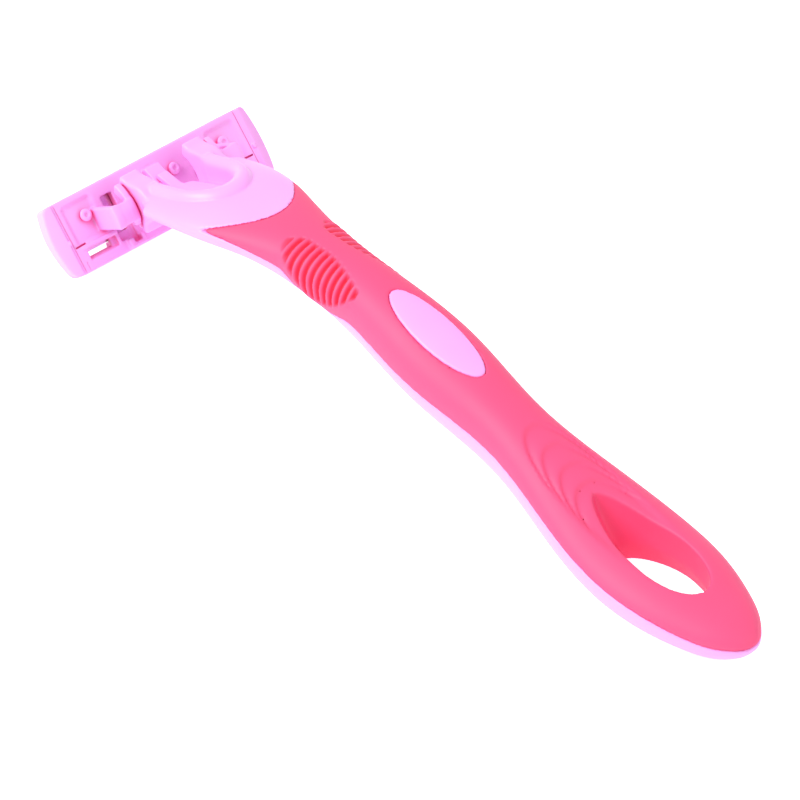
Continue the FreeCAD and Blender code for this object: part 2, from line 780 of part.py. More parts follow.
def build_end_cap(name, side):
    """The moulded cap that closes one end, bowed outside. Side is -1 on the left."""
    half = size("cartridge_length") / 2
    depth = "base_plate + blade_thickness * 3 + spacer_thickness * 2 + cap_thickness"
    front = stack_depth() + size("cap_thickness")
    left = half - size("end_cap_width") if side > 0 else -half
    block = box(name + "_block", (left, -size("guard_edge"), -front),
                Length="end_cap_width", Width="guard_edge + cap_edge", Height=depth)
    bow = doc.addObject("Part::Cylinder", name + "_bow")
    chord = (size("guard_edge") + size("cap_edge")) / 2
    bulge = size("end_bulge")
    radius = (chord ** 2 + bulge ** 2) / (2 * bulge)
    middle = (size("cap_edge") - size("guard_edge")) / 2
    bow.Placement = Placement(Vector(side * (half - radius), middle, -front), Rotation())
    bow.Radius = radius
    bind(bow, Height=depth)
    bowed = boolean("Common", name + "_bowed", block, bow)

    rise = front - size("end_cap_front")
    slope = math.degrees(math.atan2(rise, size("guard_edge") + size("cap_front")))
    lean = Rotation(Vector(1, 0, 0), -slope)
    guard_corner = Vector(0, -size("guard_edge"), -size("end_cap_front"))
    under = doc.addObject("Part::Box", name + "_front_slope")
    under.Placement = Placement(guard_corner + lean.multVec(Vector(-FAR, -FAR / 2, -FAR)), lean)
    bind(under, Length=str(2 * FAR), Width=str(FAR), Height=str(FAR))
    made = boolean("Cut", name, bowed, under)
    made.Placement = cartridge_placement()
    return made


def check(parts):
    """Stops before anything is written if an object failed or a sub-part isn't one valid shape."""
    doc.recompute()
    for thing in doc.Objects:
        if "Invalid" in thing.State or "Error" in thing.State:
            raise RuntimeError("%s did not build: %s" % (thing.Name, thing.State))
    for part in parts:
        if part.Shape.isNull() or not part.Shape.isValid():
            raise RuntimeError("%s has no valid shape" % part.Label)
        print("%-20s %d solid, %8.2f mm3" % (part.Label, len(part.Shape.Solids), part.Shape.Volume))


def main():
    fill_sheet()
    parts = build_handle()
    parts.append(build_return_tongue())
    parts.append(build_cartridge_base())
    for level, name in enumerate(["seat_blade", "middle_blade", "cap_blade"]):
        parts.append(build_blade(name, level))
    for level, name in enumerate(["lower_spacer", "upper_spacer"]):
        parts.append(build_spacer(name, level))
    parts.append(build_blade_cap())
    parts.append(build_lubricating_strip())
    parts.append(build_guard_strip())
    parts.append(build_end_cap("left_end_cap", -1))
    parts.append(build_end_cap("right_end_cap", 1))
    for part in parts:
        part.Label = part.Name
    check(parts)
    os.makedirs("parts", exist_ok=True)
    for part in parts:
        part.Shape.exportStep("parts/%s.step" % part.Label)


main()
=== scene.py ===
import json
import math

import bpy
import numpy as np
from mathutils import Matrix, Vector


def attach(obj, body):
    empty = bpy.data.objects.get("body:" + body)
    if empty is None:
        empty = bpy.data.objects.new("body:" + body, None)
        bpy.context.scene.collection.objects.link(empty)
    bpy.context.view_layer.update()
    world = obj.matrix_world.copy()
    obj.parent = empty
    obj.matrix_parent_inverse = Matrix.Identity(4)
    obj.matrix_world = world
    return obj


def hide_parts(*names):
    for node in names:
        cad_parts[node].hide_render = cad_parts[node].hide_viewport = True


# A wet-shaving razor that lies on its face, with its back up. Shapes are signed distances in millimetres,
# negative inside, joined and cut with soft edges and then turned into meshes. +Y runs from tail to head,
# X across and Z up. Both sides are alike, so most shapes are drawn once, over the distance from the middle.

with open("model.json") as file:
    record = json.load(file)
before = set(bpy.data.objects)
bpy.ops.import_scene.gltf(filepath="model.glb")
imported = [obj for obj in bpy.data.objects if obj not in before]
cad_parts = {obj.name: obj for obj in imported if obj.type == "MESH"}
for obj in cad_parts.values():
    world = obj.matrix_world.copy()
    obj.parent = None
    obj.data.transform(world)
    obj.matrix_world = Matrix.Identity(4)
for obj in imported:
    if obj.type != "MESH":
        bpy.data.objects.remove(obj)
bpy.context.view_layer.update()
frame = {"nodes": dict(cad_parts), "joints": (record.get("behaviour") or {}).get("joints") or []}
MM = 0.001
JOINTS = {joint["name"]: joint for joint in frame["joints"]}
PIVOT_Y, PIVOT_Z = [value / MM for value in JOINTS["cartridge_pivot"]["pos_m"][1:]]
ROOT_Y, ROOT_Z = [value / MM for value in JOINTS["tongue_flex"]["pos_m"][1:]]


# ---------------------------------------------------------------- distances


def soft_max(a, b, radius):
    """The space common to two shapes, with a rounded edge."""
    mix = np.clip(0.5 + 0.5 * (a - b) / radius, 0.0, 1.0)
    return b * (1 - mix) + a * mix + radius * mix * (1 - mix)


def soft_min(a, b, radius):
    """Two shapes joined, with a fillet between them."""
    return -soft_max(-a, -b, radius)


def smooth_step(low, high, value):
    """0 up to low, 1 from high on, and a smooth rise between. It falls instead when low is above high."""
    part = np.clip((value - low) / (high - low), 0.0, 1.0)
    return part * part * (3 - 2 * part)


def block(x, y, z, low, high, radius=0.2):
    """A box between two corners, its edges rounded."""
    inside = [np.abs(p - (a + b) / 2) - (b - a) / 2 + radius for p, a, b in zip((x, y, z), low, high)]
    outer = np.sqrt(sum(np.maximum(side, 0) ** 2 for side in inside))
    return outer + np.minimum(np.maximum(np.maximum(inside[0], inside[1]), inside[2]), 0) - radius


def oval(across, along, half_across, half_along, power=2.0):
    """An oval outline (or a section of a bar), as a distance."""
    u = np.abs(across) / half_across
    v = np.abs(along) / half_along
    size = np.maximum(u**power + v**power, 1e-9) ** (1 / power)
    slope = np.hypot(u ** (power - 1) / half_across, v ** (power - 1) / half_along) * size ** (1 - power)
    return (size - 1) / np.maximum(slope, 0.5 / (half_across + half_along))


def sector(across, up, start, sweep):
    """The wedge between two directions out of a centre, up to half a turn wide. Angles in degrees."""
    first = math.radians(start)
    last = math.radians(start + sweep)
    before = across * math.sin(first) - up * math.cos(first)
    after = up * math.cos(last) - across * math.sin(last)
    return np.maximum(before, after)


def ring_sector(across, up, inner, outer, start, sweep, radius=0.25):
    """A curved bar about a centre, between two radii and two directions."""
    reach = np.hypot(across, up)
    wall = np.abs(reach - (inner + outer) / 2) - (outer - inner) / 2
    return soft_max(wall, sector(across, up, start, sweep), radius)


def smooth_curve(places, values):
    """A function that runs smoothly through values at places (a natural cubic spline)."""
    places = np.asarray(places, float)
    values = np.asarray(values, float)
    gaps = np.diff(places)
    count = len(places)
    system = np.eye(count)
    right = np.zeros(count)
    for i in range(1, count - 1):
        system[i, i - 1 : i + 2] = gaps[i - 1], 2 * (gaps[i - 1] + gaps[i]), gaps[i]
        right[i] = 6 * ((values[i + 1] - values[i]) / gaps[i] - (values[i] - values[i - 1]) / gaps[i - 1])
    bends = np.linalg.solve(system, right)
    fine = np.linspace(places[0], places[-1], 800)
    piece = np.clip(np.searchsorted(places, fine) - 1, 0, count - 2)
    left = fine - places[piece]
    rest = places[piece + 1] - fine
    gap = gaps[piece]
    height = (bends[piece] * rest**3 + bends[piece + 1] * left**3) / (6 * gap)
    height += (values[piece] / gap - bends[piece] * gap / 6) * rest
    height += (values[piece + 1] / gap - bends[piece + 1] * gap / 6) * left
    return lambda place: np.interp(place, fine, height)


# ---------------------------------------------------------------- meshes


def grid_signs(field, axes):
    """Field values on a grid, worked out only near the surface and known by sign elsewhere."""
    stride = 4
    coarse_axes = [np.append(axis[::stride], axis[-1]) for axis in axes]
    coarse = field(*np.meshgrid(*coarse_axes, indexing="ij")).astype(np.float32)
    longest = max(np.diff(axis).max() for axis in coarse_axes)
    near = np.abs(coarse) < longest * 1.6
    for axis in range(3):
        near = near | np.roll(near, 1, axis) | np.roll(near, -1, axis)
    shape = tuple(len(axis) for axis in axes)

    def spread(grid):
        for axis in range(3):
            grid = np.repeat(grid, stride, axis)
        return grid[: shape[0], : shape[1], : shape[2]].copy()

    values = spread(coarse)
    chosen = np.nonzero(spread(near))
    values[chosen] = field(*(axis[index] for axis, index in zip(axes, chosen)))
    return values


def surface_net(values, axes):
    """One point in each cell that the surface crosses, and a quad for each crossed edge of the grid."""
    inside = values < 0
    corners = [(i, j, k) for i in (0, 1) for j in (0, 1) for k in (0, 1)]
    shape = [n - 1 for n in values.shape]
    total = np.zeros(shape, np.int8)
    for i, j, k in corners:
        total += inside[i : i + shape[0], j : j + shape[1], k : k + shape[2]]
    cells = np.argwhere((total > 0) & (total < 8))
    number = np.full(shape, -1, np.int64)
    number[tuple(cells.T)] = np.arange(len(cells))
    points = np.zeros((len(cells), 3))
    crossings = np.zeros(len(cells))
    for start in corners:
        for axis in range(3):
            if start[axis]:
                continue
            end = list(start)
            end[axis] = 1
            first = cells + start
            second = cells + end
            a = values[tuple(first.T)]
            b = values[tuple(second.T)]
            crossed = (a < 0) != (b < 0)
            part = np.where(crossed, a / np.where(crossed, a - b, 1), 0)[:, None]
            low = np.stack([axes[d][first[:, d]] for d in range(3)], 1)
            high = np.stack([axes[d][second[:, d]] for d in range(3)], 1)
            points += np.where(crossed[:, None], low + (high - low) * part, 0)
            crossings += crossed
    points /= crossings[:, None]
    quads = []
    for axis in range(3):
        one, two = [d for d in range(3) if d != axis]
        here = [slice(1, -1)] * 3
        here[axis] = slice(0, -1)
        ahead = list(here)
        ahead[axis] = slice(1, None)
        a = inside[tuple(here)]
        b = inside[tuple(ahead)]
        for entering in (False, True):
            at = np.argwhere((a != b) & (b == entering))
            at[:, one] += 1
            at[:, two] += 1
            ring = []
            for step_one, step_two in ((0, 0), (-1, 0), (-1, -1), (0, -1)):
                cell = at.copy()
                cell[:, one] += step_one
                cell[:, two] += step_two
                ring.append(number[tuple(cell.T)])
            turned = (axis == 1) == entering
            quads.append(np.stack(ring if turned else ring[::-1], 1))
    return points, np.concatenate(quads)


def slope_at(field, points, step=0.02):
    """Gradient of a field at points, by differences."""
    slope = np.zeros_like(points)
    for axis in range(3):
        shift = np.zeros(3)
        shift[axis] = step
        slope[:, axis] = field(*(points + shift).T) - field(*(points - shift).T)
    return slope / (2 * step)


def neighbours_mean(points, quads):
    """The mean place of the points that share a quad's edge with each point."""
    total = np.zeros_like(points)
    count = np.zeros(len(points))
    for corner in range(4):
        for other in (quads[:, (corner + 1) % 4], quads[:, corner - 1]):
            for axis in range(3):
                total[:, axis] += np.bincount(quads[:, corner], points[other, axis], len(points))
            count += np.bincount(quads[:, corner], minlength=len(points))
    return total / count[:, None]


def slope_and_steepness(field, points):
    """The field's gradient at points and its squared length, which is kept away from zero."""
    slope = slope_at(field, points)
    return slope, np.maximum((slope**2).sum(1), 0.05)[:, None]


def settle(field, points, quads, size, rounds=3, pulls=2, astray=0.04):
    """Evens the points out along the surface and puts each on it. A stray goes back to its neighbours."""
    for _ in range(rounds):
        middle = neighbours_mean(points, quads)
        slope, steep = slope_and_steepness(field, points)
        drift = middle - points
        drift -= slope * (drift * slope).sum(1)[:, None] / steep
        points = points + 0.5 * drift
        for _ in range(pulls):
            slope, steep = slope_and_steepness(field, points)
            move = -slope * field(*points.T)[:, None] / steep
            length = np.maximum(np.linalg.norm(move, axis=1), 1e-9)[:, None]
            points = points + move * np.minimum(1, 0.6 * size / length)
        stray = np.abs(field(*points.T)) > astray
        points[stray] = middle[stray]
    return points


def even_axis(low, high, step):
    """Grid lines from low to high, no further apart than a step."""
    return np.linspace(low, high, int(math.ceil((high - low) / step)) + 1)


def make_piece(name, field, axes, body, material, stands_for, place=None):
    """Meshes a field, puts it where it belongs, sets it on its body and hides the CAD nodes that it stands
    for.
    """
    points, quads = surface_net(grid_signs(field, axes), axes)
    points = settle(field, points, quads, min(np.diff(axis).min() for axis in axes))
    if place is not None:
        points = place(points)
    mesh = bpy.data.meshes.new(name)
    mesh.from_pydata((points * MM).tolist(), [], quads.tolist())
    mesh.polygons.foreach_set("use_smooth", np.ones(len(mesh.polygons), bool))
    mesh.materials.append(material)
    mesh.update()
    piece = bpy.data.objects.new(name, mesh)
    bpy.context.scene.collection.objects.link(piece)
    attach(piece, body)
    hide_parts(*stands_for)
    return piece


# ---------------------------------------------------------------- handle

# place along Y, height of the middle, half width and half height of the section
STATIONS = [
    (-71.9, 4.5, 1.5, 1.1),
    (-69.3, 4.35, 4.1, 2.6),
    (-64.0, 4.45, 7.1, 3.85),
    (-57.0, 4.9, 9.2, 4.55),
    (-47.0, 5.6, 10.0, 4.9),
    (-34.0, 7.75, 8.3, 5.3),
    (-19.5, 10.95, 6.0, 5.6),
    (-2.0, 14.4, 7.0, 6.0),
    (15.0, 16.85, 5.7, 5.5),
    (26.0, 17.4, 6.0, 4.35),
    (37.0, 17.3, 8.0, 3.4),
    (44.0, 16.4, 9.8, 3.0),
    (51.0, 14.95, 10.5, 2.7),
    (60.5, 11.9, 10.4, 2.2),
]
PLACES = [station[0] for station in STATIONS]
MIDDLE = smooth_curve(PLACES, [station[1] for station in STATIONS])
HALF_WIDTH = smooth_curve(PLACES, [station[2] for station in STATIONS])
HALF_HEIGHT = smooth_curve(PLACES, [station[3] for station in STATIONS])
TAIL_END = PLACES[0]
TAIL_ROUNDING = 1.6
FULLNESS = 2.3

SLEEVE_WALL = 1.3
SEAM = 0.03
# How far the sleeve's lower edge runs above the middle: along the rear, round the pads, and under the head.
RISE_REAR = [(-72, 0.3), (-60, 0.9), (-45, 1.2), (-30, 1.0), (-10, 0.2), (10, -0.4), (14, -0.7)]
RISE_PADS = [(17, -1.8), (20, -2.8), (23.5, -2.8), (25.5, -2.3), (27, -1.2), (28.5, -0.2), (30, 0.1)]
RISE_HEAD = [(32, 0.15), (34, 0.2), (37, 0.4), (41, 0.75), (50, 0.9)]
RISE = smooth_curve(*zip(*(RISE_REAR + RISE_PADS + RISE_HEAD)))

HOLE_FRONT, HOLE_REAR, HOLE_WIDEST, HOLE_HALF = -36.4, -61.0, -52.0, 4.7
TERRACE_TIPS = (-22.4, -26.6, -30.8, -34.5)
TERRACE_DROP, TERRACE_RIM, TERRACE_POWER = 0.4, 6.0, 2.6
# The oval on the back where the pale core shows.
WINDOW_MIDDLE, WINDOW_HALF_LENGTH, WINDOW_HALF_WIDTH = -0.7, 10.5, 3.5

# Outline of the ridged pads: how near the spine they come, and how low they reach. The spine is a little
# off the middle.
SPINE_X = 0.6
PAD_TOP = smooth_curve([13.4, 15, 16.6, 20, 23, 26, 29, 30.6], [4.2, 3.7, 3.2, 2.3, 1.8, 1.8, 2.2, 3.6])
PAD_LOW_PLACES = [13.4, 15.1, 16.7, 19.1, 21.5, 23.5, 25, 26.8, 28.3, 30.6]
PAD_LOW = smooth_curve(PAD_LOW_PLACES, [20.3, 18.7, 17.4, 16.2, 15.6, 15.6, 16.7, 18.0, 19.1, 20.6])
PAD_RISE = 0.35
GROOVE_FIRST, GROOVE_PITCH, GROOVE_DEPTH, GROOVE_COUNT = 13.9, 1.5, 0.8, 12
# The mesh attribute that tells the sleeve's material where the grooves are, for the painted shade in them.
GROOVE_SHADE_ATTRIBUTE = "painted_groove_shade"

HEAD_FRONT = 60.9
HEAD_EDGE, HEAD_EDGE_BOW, HEAD_EDGE_FALL = 36.5, 0.065, 1.2
OPENING_HALF, OPENING_CENTRE = 4.4, 54.6
BEAD_HEIGHT, BEAD_CENTRE, BEAD_HALF_WIDTH, BEAD_HALF_LENGTH = 1.1, 56.0, 7.1, 9.9

# The fork, about the pivot: radii, and where a shape starts and how far it sweeps, in degrees.
ARM_INSIDE, ARM_OUTSIDE = 4.45, 8.35
HOOK_INNER, HOOK_OUTER, HOOK_START, HOOK_SWEEP = 4.45, 6.85, 89, 98
ARM_THICKENING = 2.5
TRACK_INNER, TRACK_OUTER, TRACK_START, TRACK_SWEEP, TRACK_DEPTH = 5.24, 5.96, 99.5, 87.5, 0.9
BETWEEN_ARMS_CLEAR, BESIDE_ARMS_CLEAR = 7.35, 10.35

# The tongue, seen from the side, and the socket that its root turns in.
KNEE = (61.0, 10.4)
NOSE = (65.28, 10.64)
TONGUE_HALF, FINGER_HALF, LEAF_HALF_THICKNESS, KNUCKLE_RADIUS = 2.6, 1.0, 0.5, 0.8
SOCKET_HALF, SOCKET_RADIUS = 2.85, 0.9


def handle_form(x, y, z):
    """The smooth outside of the handle, before anything is cut or raised."""
    bar = oval(x, z - MIDDLE(y), HALF_WIDTH(y), HALF_HEIGHT(y), FULLNESS)
    return soft_max(bar, TAIL_END - y, TAIL_ROUNDING)


def hang_hole(x, y, z):
    """The teardrop hole of the loop. Its front wall slopes back, and it flares out underneath."""
    front = HOLE_FRONT - 6.0 * smooth_step(12.5, 1.5, z)
    ahead = np.clip((y - HOLE_WIDEST) / (front - HOLE_WIDEST), 0, 1)
    behind = np.clip((HOLE_WIDEST - y) / (HOLE_WIDEST - HOLE_REAR), 0, 1)
    half = HOLE_HALF * (1 - ahead**1.8) ** 0.65 * np.sqrt(1 - behind**2)
    beside = (np.abs(x) - half) * 0.8
    beyond = np.maximum(y - front, HOLE_REAR - y)
    return np.maximum(beside, beyond * 0.8) - 1.0 * smooth_step(5.5, 0.5, z)


def terraces(x, y):
    """How far the surface has stepped down towards the loop's hole, in shallow curved terraces."""
    side = np.abs(x)
    share = np.clip(side / TERRACE_RIM, 0, 0.97)
    tip = HOLE_WIDEST + (y - HOLE_WIDEST) / (1 - share**TERRACE_POWER) ** (1 / TERRACE_POWER)
    tip = np.where((side < TERRACE_RIM) & (y > HOLE_WIDEST), tip, 0)
    down = 0
    for place in TERRACE_TIPS:
        down = down + TERRACE_DROP * smooth_step(0.45, -0.45, tip - place)
        down = down - TERRACE_DROP * 0.6 * smooth_step(-0.6, -3.6, tip - place)
    down = down * smooth_step(HOLE_WIDEST, HOLE_WIDEST + 8, y)
    return down * smooth_step(TERRACE_RIM, TERRACE_RIM - 1.6, side)


def grip_pads(x, y, z):
    """Raised ridged pads on both sides: (how far the pad stands out, how much of a groove is here)."""
    side = np.abs(x - SPINE_X) - PAD_TOP(y)
    above = z - PAD_LOW(y)
    raised = PAD_RISE * smooth_step(-0.8, 1.2, side) * smooth_step(-1.6, 0.8, above)
    raised = raised * smooth_step(12.0, 14.5, y) * smooth_step(32.0, 29.5, y) * smooth_step(21.5, 18.5, z)
    along = (y + 0.2 * (21.5 - z) - GROOVE_FIRST) / GROOVE_PITCH
    count = np.clip(np.round(along), 0, GROOVE_COUNT - 1)
    offset = np.abs(along - count) * GROOVE_PITCH
    groove = smooth_step(0.55, 0.2, offset) * smooth_step(-0.1, 0.35, side) * smooth_step(-0.1, 0.4, above)
    return raised, groove


def window_outline(x, y):
    """The oval window of the sleeve, as a distance in plan."""
    return oval(x, y - WINDOW_MIDDLE, WINDOW_HALF_WIDTH, WINDOW_HALF_LENGTH)


def head_edge(x, y, z):
    """Positive in the coral part, negative in the pale head. The edge runs forward down the sides."""
    fall = np.maximum(MIDDLE(y) + HALF_HEIGHT(y) - z, 0)
    return HEAD_EDGE + HEAD_EDGE_BOW * x * x + HEAD_EDGE_FALL * fall - y


def sleeve_space(x, y, z, form):
    """The space of the soft sleeve: a skin above the parting line, and the lining of the hole."""
    parting = MIDDLE(y) + RISE(y) - z
    skin = np.maximum(parting, -form - SLEEVE_WALL)
    skin = np.maximum(skin, -window_outline(x, y))
    skin = np.maximum(skin, -head_edge(x, y, z))
    return np.minimum(skin, hang_hole(x, y, z) - SLEEVE_WALL)


def sleeve_field(x, y, z):
    """The soft grip sleeve, with its ridged pads and its terraces."""
    raised, groove = grip_pads(x, y, z)
    top = smooth_step(0, 2.0, z - MIDDLE(y))
    form = handle_form(x, y, z)
    shape = form - raised + GROOVE_DEPTH * groove + terraces(x, y) * top
    shape = soft_max(shape, sleeve_space(x, y, z, form) + SEAM, 0.25)
    return soft_max(shape, -hang_hole(x, y, z), 0.5)


def opening_outline(x, y):
    """The U-shaped opening of the head, as a distance in plan."""
    return np.hypot(x, np.minimum(y - OPENING_CENTRE, 0)) - OPENING_HALF


def bead(x, y, z):
    """A round bead along the edge of the opening, thicker at the back: how far it stands out."""
    inner = opening_outline(x, y)
    outer = oval(x, np.minimum(y - BEAD_CENTRE, 0), BEAD_HALF_WIDTH, BEAD_HALF_LENGTH)
    share = np.clip(inner / np.maximum(inner - outer, 0.01), 0, 1)
    return BEAD_HEIGHT * np.sin(math.pi * share) ** 0.8 * (outer < 0) * (z > MIDDLE(y))


def fork_arms(x, y, z):
    """Hooked arms that the cartridge hangs on, thickening smoothly into the head."""
    across = y - PIVOT_Y
    up = z - PIVOT_Z
    turn = np.degrees(np.arctan2(up, across)) % 360
    outer = HOOK_OUTER + ARM_THICKENING * (smooth_step(100, 134, turn) - smooth_step(152, 172, turn))
    hook = ring_sector(across, up, HOOK_INNER, outer, HOOK_START, HOOK_SWEEP, 0.5)
    bar = np.abs(np.abs(x) - (ARM_INSIDE + ARM_OUTSIDE) / 2) - (ARM_OUTSIDE - ARM_INSIDE) / 2
    return soft_max(hook * 0.9, bar, 0.6)


def head_clearance(side, reach):
    """Negative where the head may stand, beyond the turning cartridge: between the arms, and beside them."""
    short = BESIDE_ARMS_CLEAR - reach
    beside = np.minimum(short, 0) + np.where(side > ARM_OUTSIDE, short, -5)
    return BETWEEN_ARMS_CLEAR - reach, beside


def socket_field(x, y, z):
    """The round socket at the tongue's root, with its mouth towards the opening."""
    socket = np.hypot(y - ROOT_Y, z - ROOT_Z) - SOCKET_RADIUS
    low = (-SOCKET_HALF, ROOT_Y, ROOT_Z - 1.6)
    high = (SOCKET_HALF, ROOT_Y + 5.2, ROOT_Z + 0.95)
    return np.minimum(np.maximum(socket, np.abs(x) - SOCKET_HALF), block(x, y, z, low, high, 0.1))


def core_field(x, y, z):
    """The pale moulding: the lower half, the back's oval, and the head with its fork."""
    form = handle_form(x, y, z)
    across = y - PIVOT_Y
    up = z - PIVOT_Z
    side = np.abs(x)
    head = soft_max(form - bead(x, y, z), y - HEAD_FRONT, 0.6)
    for clear in head_clearance(side, np.hypot(across, up)):
        head = soft_max(head, clear, 0.5)
    shape = soft_min(head, fork_arms(x, y, z), 0.9)
    space = sleeve_space(x, y, z, form)
    shape = soft_max(shape, -(space - SEAM), 0.2)
    shape = soft_max(shape, -hang_hole(x, y, z), 0.3)
    shape = soft_max(shape, -opening_outline(x, y), 0.7)
    track = ring_sector(across, up, TRACK_INNER, TRACK_OUTER, TRACK_START, TRACK_SWEEP, 0.1)
    track = np.maximum(track, ARM_OUTSIDE - TRACK_DEPTH - side)
    shape = soft_max(shape, -track, 0.12)
    return soft_max(shape, -socket_field(x, y, z), 0.1)


def build_handle(pale, coral):
    """Both handle pieces. The grids are finer where the ridges and the fork are."""
    across = even_axis(-11.2, 11.2, 0.32)
    up = even_axis(-0.6, 25.0, 0.32)
    ridges = even_axis(12.0, 32.0, 0.16)
    along = np.concatenate([even_axis(-73.2, 12.0, 0.36)[:-1], ridges, even_axis(32.0, 46.8, 0.3)[1:]])
    axes = [across, along, up]
    sleeve = make_piece("grip_sleeve_soft", sleeve_field, axes, "handle", coral, ["grip_sleeve"])
    points = np.array([vertex.co for vertex in sleeve.data.vertices]) / MM
    # The groove share is kept on the mesh for the painted shade in the grooves.
    groove_shade = sleeve.data.attributes.new(GROOVE_SHADE_ATTRIBUTE, "FLOAT", "POINT")
    groove_shade.data.foreach_set("value", grip_pads(*points.T)[1].astype(np.float32))
    along = np.concatenate([even_axis(-73.2, 34.0, 0.4)[:-1], even_axis(34.0, 68.0, 0.22)])
    axes = [across, along, up]
    make_piece("handle_core_moulding", core_field, axes, "handle", pale, ["handle_core"])


def strut(y, z, start, end):
    """Place along and above a straight line seen from the side, and the line's length."""
    length = math.dist(start, end)
    ahead, rise = (end[0] - start[0]) / length, (end[1] - start[1]) / length
    along = (y - start[0]) * ahead + (z - start[1]) * rise
    above = (z - start[1]) * ahead - (y - start[0]) * rise
    return along, above, length


def tongue_field(x, y, z):
    """The spring leaf in the opening: round root, wide leaf down to a knee, narrow level nose."""
    side = np.abs(x)
    along, above, length = strut(y, z, (ROOT_Y, ROOT_Z), KNEE)
    leaf = soft_max(side - TONGUE_HALF, along - length - LEAF_HALF_THICKNESS + 0.06 * x * x, 1.2)
    leaf = soft_max(soft_max(leaf, np.abs(above) - LEAF_HALF_THICKNESS, 0.3), -along, 0.2)
    knuckle = soft_max(np.hypot(along, above) - KNUCKLE_RADIUS, side - TONGUE_HALF, 0.15)
    ahead, over, reach = strut(y, z, KNEE, NOSE)
    finger = np.maximum(np.maximum(ahead - reach, -ahead), np.abs(over) - LEAF_HALF_THICKNESS)
    nose = np.hypot(ahead - reach, over) - LEAF_HALF_THICKNESS
    finger = soft_max(np.minimum(finger, nose), side - FINGER_HALF, 0.3)
    return soft_min(soft_min(leaf, finger, 0.5), knuckle, 0.2)


def build_tongue(pale):
    """The spring leaf, on a body of its own."""
    axes = [even_axis(-2.9, 2.9, 0.14), even_axis(48.2, 66.3, 0.14), even_axis(9.6, 17.2, 0.14)]
    make_piece("return_tongue_leaf", tongue_field, axes, "tongue", pale, ["return_tongue"])


# ---------------------------------------------------------------- cartridge

# The cartridge's own frame: x across, u from the guard edge to the cap edge, n out of its back. Its origin
# is on the pivot's line, in the plane of the back.
LEAN = math.radians(45)
GUARD_EDGE, CAP_EDGE, PLATE = -6.5, 5.8, 1.4
SEAM_X, SEAM_HALF_GAP = 18.7, 0.015
INNER_EDGE = SEAM_X - SEAM_HALF_GAP
END_REACH = 21.75

# The pins' places, as distance from the middle and u.
PINS = ((14.3, 1.9), (4.0, 1.9))
PIN_RADIUS, PIN_HOLE_RADIUS, STAKE_RADIUS = 0.6, 0.66, 1.05

# The bracket's curved bars: radii about the pivot.
RIB_INNER, RIB_OUTER = 4.7, 6.4
RAIL_INNER, RAIL_OUTER = 5.3, 5.9
BRIDGE_OUTER = 6.6
CAM_FACE, CAM_REACH = math.radians(62.5), 3.0


def cartridge_to_razor(points):
    """From the cartridge's own frame to the razor's."""
    x, u, n = points.T
    y = PIVOT_Y + u * math.cos(LEAN) - n * math.sin(LEAN)
    z = PIVOT_Z + u * math.sin(LEAN) + n * math.cos(LEAN)
    return np.stack([x, y, z], 1)


def bracket(side, u, n):
    """The bearing bracket: a tall post, a bridge, and a curved rib with its rail."""
    rib = ring_sector(u, n, RIB_INNER, RIB_OUTER, 50, 72, 0.4)
    rib = soft_max(rib, np.abs(side - 9.25) - 0.6, 0.3)
    bridge = ring_sector(u, n, RAIL_INNER, BRIDGE_OUTER, 80, 34, 0.4)
    bridge = soft_max(bridge, np.maximum(8.8 - side, side - 12.9), 0.3)
    rail = ring_sector(u, n, RAIL_INNER, RAIL_OUTER, 56, 50, 0.1)
    rail = np.maximum(rail, np.abs(side - 8.3) - 0.55)
    post = block(side, u + 0.2 * n, n, (11.8, -1.5, -PLATE), (13.0, 2.4, 6.5), 0.3)
    post = soft_max(post, np.hypot(u, n) - BRIDGE_OUTER, 0.4)
    return np.minimum(soft_min(soft_min(rib, bridge, 0.4), post, 0.5), rail)


def cam(x, u, n):
    """The wedge that the tongue's nose rests over."""
    face = (u * math.cos(CAM_FACE) + n * math.sin(CAM_FACE)) - CAM_REACH
    wedge = block(x, u, n, (-1.5, 0.9, -0.7), (1.5, 4.0, 4.0), 0.25)
    return soft_max(wedge, face, 0.15)


def rinse_window(side, u, n):
    """An opening beside the guard bar that narrows towards the blades."""
    lower = -5.0 + 0.57 * np.clip(-n, 0, 1.4)
    hole = block(side, u, n, (11.0, -5.2, -4), (16.8, -3.1, 2), 0.25)
    return soft_max(hole, (lower - u) * 0.87, 0.2)


def panelled_plate(side, u, n):
    """The back plate with its guard bar, the recessed panels, and a slot and a raised band below each."""
    plate = block(0 * side, u, n, (-1, GUARD_EDGE, -PLATE), (1, CAP_EDGE, 0.0), 0.4)
    guard = block(0 * side, u, n, (-1, GUARD_EDGE, -2.7), (1, -4.3, -0.6), 0.3)
    shape = soft_max(soft_min(plate, guard, 0.3), side - INNER_EDGE, 0.1)
    panel = block(side, u, n, (12.0, -2.1, -0.4), (17.7, 4.6, 2.0), 0.6)
    shape = soft_max(shape, -panel, 0.5)
    slot = block(side, u, n, (16.3, -2.25, -0.7), (18.5, -2.0, 2.0), 0.1)
    shape = soft_max(shape, -slot, 0.1)
    band = block(side, u, n, (10.5, -3.0, -0.5), (17.6, -2.3, 0.25), 0.25)
    return soft_min(shape, band, 0.2)


def openings_and_webs(shape, side, u, n):
    """Cuts the rinse windows and the openings below the brackets, then closes each window's inner end."""
    below = block(side, u, n, (8.1, -4.6, -4), (10.4, 3.4, 2), 0.3)
    shape = soft_max(shape, -np.minimum(rinse_window(side, u, n), below), 0.15)
    web = block(side, u, n, (8.0, -5.2, -2.7), (12.0, -3.6, -1.0), 0.1)
    web = np.minimum(web, block(side, u, n, (8.0, -5.2, -1.36), (12.0, -3.1, -0.7), 0.1))
    return soft_min(shape, web, 0.1)


